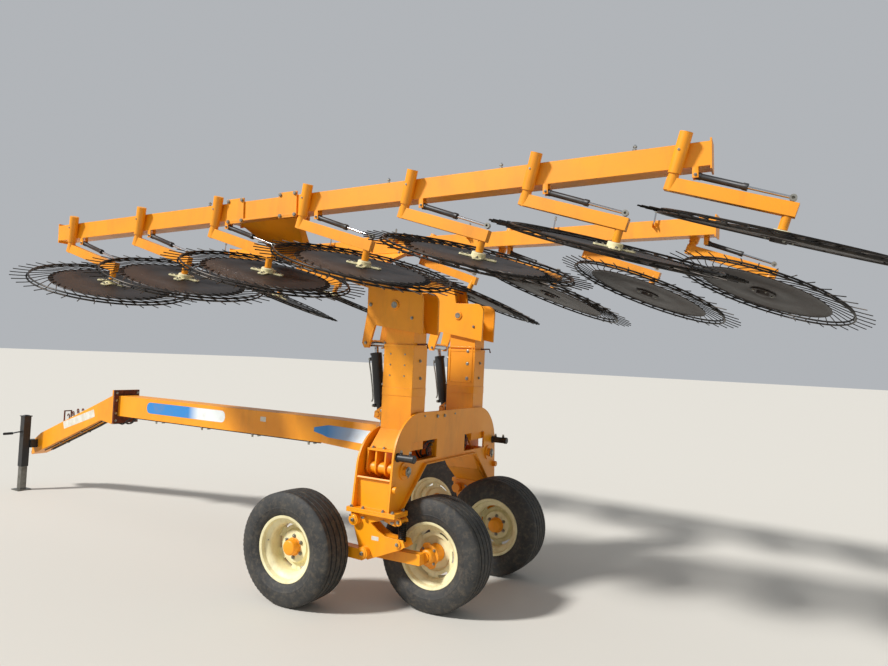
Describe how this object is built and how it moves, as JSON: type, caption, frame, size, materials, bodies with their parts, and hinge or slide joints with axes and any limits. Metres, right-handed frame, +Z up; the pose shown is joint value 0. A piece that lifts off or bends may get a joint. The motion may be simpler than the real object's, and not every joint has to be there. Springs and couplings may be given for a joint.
{
  "type": "towed wheel rake, folded for the road",
  "caption": "Towed wheel rake on four wheels, its masts upright and two booms of tined wheels folded over the tongue.",
  "frame": {"origin": "on the ground, midway between the machine's ends and sides", "axes": "+X forward along the tongue to the hitch, +Y to the left, +Z up"},
  "size_m": [8.9627, 3.7482, 3.1301],
  "materials": {
    "orange_paint": "gloss paint, a little faded",
    "cream_paint": "satin paint",
    "black_paint": "satin paint",
    "worn_red_paint": "worn and rusty",
    "dark_steel": "dark, weathered",
    "bare_steel": "dull",
    "chrome": "polished",
    "tyre": "matte"
  },
  "bodies": {
    "root": {"chassis": "orange_paint", "tongue": "orange_paint", "gooseneck": "orange_paint", "hitch": "worn_red_paint", "jack_tube": "black_paint", "hose_rack": "worn_red_paint", "walking_beam_left": "orange_paint", "beam_spring_left": "black_paint", "fold_pin_left": "chrome", "walking_beam_right": "orange_paint", "beam_spring_right": "black_paint", "fold_pin_right": "chrome"},
    "mast_left": {"mast_left": "orange_paint"},
    "nod_barrel_left": {"nod_barrel_left": "black_paint"},
    "nod_rod_left": {"nod_rod_left": "chrome"},
    "boom_left": {"arm_left": "orange_paint", "boom_left": "orange_paint", "swing_arms_left": "orange_paint", "float_springs_left": "black_paint"},
    "rake_wheel_left_1": {"rake_wheel_left_1": "dark_steel"},
    "rake_wheel_left_2": {"rake_wheel_left_2": "dark_steel"},
    "rake_wheel_left_3": {"rake_wheel_left_3": "dark_steel"},
    "rake_wheel_left_4": {"rake_wheel_left_4": "dark_steel"},
    "rake_wheel_left_5": {"rake_wheel_left_5": "dark_steel"},
    "rake_wheel_left_6": {"rake_wheel_left_6": "dark_steel"},
    "rake_wheel_left_7": {"rake_wheel_left_7": "dark_steel"},
    "mast_right": {"mast_right": "orange_paint"},
    "nod_barrel_right": {"nod_barrel_right": "black_paint"},
    "nod_rod_right": {"nod_rod_right": "chrome"},
    "boom_right": {"arm_right": "orange_paint", "boom_right": "orange_paint", "swing_arms_right": "orange_paint", "float_springs_right": "black_paint"},
    "rake_wheel_right_1": {"rake_wheel_right_1": "dark_steel"},
    "rake_wheel_right_2": {"rake_wheel_right_2": "dark_steel"},
    "rake_wheel_right_3": {"rake_wheel_right_3": "dark_steel"},
    "rake_wheel_right_4": {"rake_wheel_right_4": "dark_steel"},
    "rake_wheel_right_5": {"rake_wheel_right_5": "dark_steel"},
    "rake_wheel_right_6": {"rake_wheel_right_6": "dark_steel"},
    "rake_wheel_right_7": {"rake_wheel_right_7": "dark_steel"},
    "wheel_front_left": {"tyre_front_left": "tyre", "rim_front_left": "cream_paint"},
    "wheel_rear_left": {"tyre_rear_left": "tyre", "rim_rear_left": "cream_paint"},
    "wheel_front_right": {"tyre_front_right": "tyre", "rim_front_right": "cream_paint"},
    "wheel_rear_right": {"tyre_rear_right": "tyre", "rim_rear_right": "cream_paint"},
    "jack_leg": {"jack_leg": "bare_steel"}
  },
  "joints": [
    {"name": "fold_left", "type": "hinge", "parent": "root", "child": "mast_left", "pos_m": [-1.21664, 0.688, 0.977], "axis": [-1, 0, 0], "range_deg": [0, 80]},
    {"name": "nod_left", "type": "hinge", "parent": "mast_left", "child": "boom_left", "pos_m": [-1.18864, 0.496, 2.174], "axis": [0, -1, 0], "range_deg": [0, 35]},
    {"name": "nod_barrel_left", "type": "hinge", "parent": "mast_left", "child": "nod_barrel_left", "pos_m": [-1.02064, 0.496, 1.345], "axis": [0, 1, 0], "range_deg": [0, 7.31]},
    {"name": "nod_rod_left", "type": "slide", "parent": "nod_barrel_left", "child": "nod_rod_left", "axis": [0.1393, 0, 0.9903], "range_m": [0, 0.2151]},
    {"name": "spin_left_1", "type": "hinge", "parent": "boom_left", "child": "rake_wheel_left_1", "pos_m": [1.46372, 1.12092, 2.3162], "axis": [-0.2801, 0.1377, 0.95], "continuous": true},
    {"name": "spin_left_2", "type": "hinge", "parent": "boom_left", "child": "rake_wheel_left_2", "pos_m": [0.59486, 1.07003, 2.34975], "axis": [-0.2801, 0.1377, 0.95], "continuous": true},
    {"name": "spin_left_3", "type": "hinge", "parent": "boom_left", "child": "rake_wheel_left_3", "pos_m": [-0.27401, 1.01914, 2.38331], "axis": [-0.2801, 0.1377, 0.95], "continuous": true},
    {"name": "spin_left_4", "type": "hinge", "parent": "boom_left", "child": "rake_wheel_left_4", "pos_m": [-1.14287, 0.96825, 2.41687], "axis": [-0.2801, 0.1377, 0.95], "continuous": true},
    {"name": "spin_left_5", "type": "hinge", "parent": "boom_left", "child": "rake_wheel_left_5", "pos_m": [-2.01174, 0.91736, 2.45042], "axis": [-0.2801, 0.1377, 0.95], "continuous": true},
    {"name": "spin_left_6", "type": "hinge", "parent": "boom_left", "child": "rake_wheel_left_6", "pos_m": [-2.8806, 0.86647, 2.48398], "axis": [-0.2801, 0.1377, 0.95], "continuous": true},
    {"name": "spin_left_7", "type": "hinge", "parent": "boom_left", "child": "rake_wheel_left_7", "pos_m": [-3.74946, 0.81558, 2.51753], "axis": [-0.2801, 0.1377, 0.95], "continuous": true},
    {"name": "fold_right", "type": "hinge", "parent": "root", "child": "mast_right", "pos_m": [-1.21664, -0.688, 0.977], "axis": [1, 0, 0], "range_deg": [0, 80]},
    {"name": "nod_right", "type": "hinge", "parent": "mast_right", "child": "boom_right", "pos_m": [-1.18864, -0.496, 2.174], "axis": [0, -1, 0], "range_deg": [0, 35]},
    {"name": "nod_barrel_right", "type": "hinge", "parent": "mast_right", "child": "nod_barrel_right", "pos_m": [-1.02064, -0.496, 1.345], "axis": [0, 1, 0], "range_deg": [0, 6.2]},
    {"name": "nod_rod_right", "type": "slide", "parent": "nod_barrel_right", "child": "nod_rod_right", "axis": [0.1579, 0, 0.9875], "range_m": [0, 0.2189]},
    {"name": "spin_right_1", "type": "hinge", "parent": "boom_right", "child": "rake_wheel_right_1", "pos_m": [1.65522, -1.12092, 2.43325], "axis": [-0.3203, -0.1377, 0.9372], "continuous": true},
    {"name": "spin_right_2", "type": "hinge", "parent": "boom_right", "child": "rake_wheel_right_2", "pos_m": [0.78571, -1.07003, 2.42978], "axis": [-0.3203, -0.1377, 0.9372], "continuous": true},
    {"name": "spin_right_3", "type": "hinge", "parent": "boom_right", "child": "rake_wheel_right_3", "pos_m": [-0.08379, -1.01914, 2.42632], "axis": [-0.3203, -0.1377, 0.9372], "continuous": true},
    {"name": "spin_right_4", "type": "hinge", "parent": "boom_right", "child": "rake_wheel_right_4", "pos_m": [-0.9533, -0.96825, 2.42285], "axis": [-0.3203, -0.1377, 0.9372], "continuous": true},
    {"name": "spin_right_5", "type": "hinge", "parent": "boom_right", "child": "rake_wheel_right_5", "pos_m": [-1.8228, -0.91736, 2.41939], "axis": [-0.3203, -0.1377, 0.9372], "continuous": true},
    {"name": "spin_right_6", "type": "hinge", "parent": "boom_right", "child": "rake_wheel_right_6", "pos_m": [-2.69231, -0.86647, 2.41592], "axis": [-0.3203, -0.1377, 0.9372], "continuous": true},
    {"name": "spin_right_7", "type": "hinge", "parent": "boom_right", "child": "rake_wheel_right_7", "pos_m": [-3.56181, -0.81558, 2.41246], "axis": [-0.3203, -0.1377, 0.9372], "continuous": true},
    {"name": "roll_front_left", "type": "hinge", "parent": "root", "child": "wheel_front_left", "pos_m": [-0.69764, 1.021, 0.4], "axis": [0, 1, 0], "continuous": true},
    {"name": "roll_rear_left", "type": "hinge", "parent": "root", "child": "wheel_rear_left", "pos_m": [-1.57964, 0.513, 0.4], "axis": [0, 1, 0], "continuous": true},
    {"name": "roll_front_right", "type": "hinge", "parent": "root", "child": "wheel_front_right", "pos_m": [-0.69764, -1.021, 0.4], "axis": [0, 1, 0], "continuous": true},
    {"name": "roll_rear_right", "type": "hinge", "parent": "root", "child": "wheel_rear_right", "pos_m": [-1.57964, -0.513, 0.4], "axis": [0, 1, 0], "continuous": true},
    {"name": "jack", "type": "slide", "parent": "root", "child": "jack_leg", "axis": [0, 0, 1], "range_m": [0, 0.23]}
  ],
  "couplings": [
    {"joint": "nod_barrel_left", "follows": "nod_left", "ratio": 0.20316},
    {"joint": "nod_rod_left", "follows": "nod_left", "m_per_rad": 0.34889},
    {"joint": "nod_barrel_right", "follows": "nod_right", "ratio": 0.17147},
    {"joint": "nod_rod_right", "follows": "nod_right", "m_per_rad": 0.35508}
  ]
}
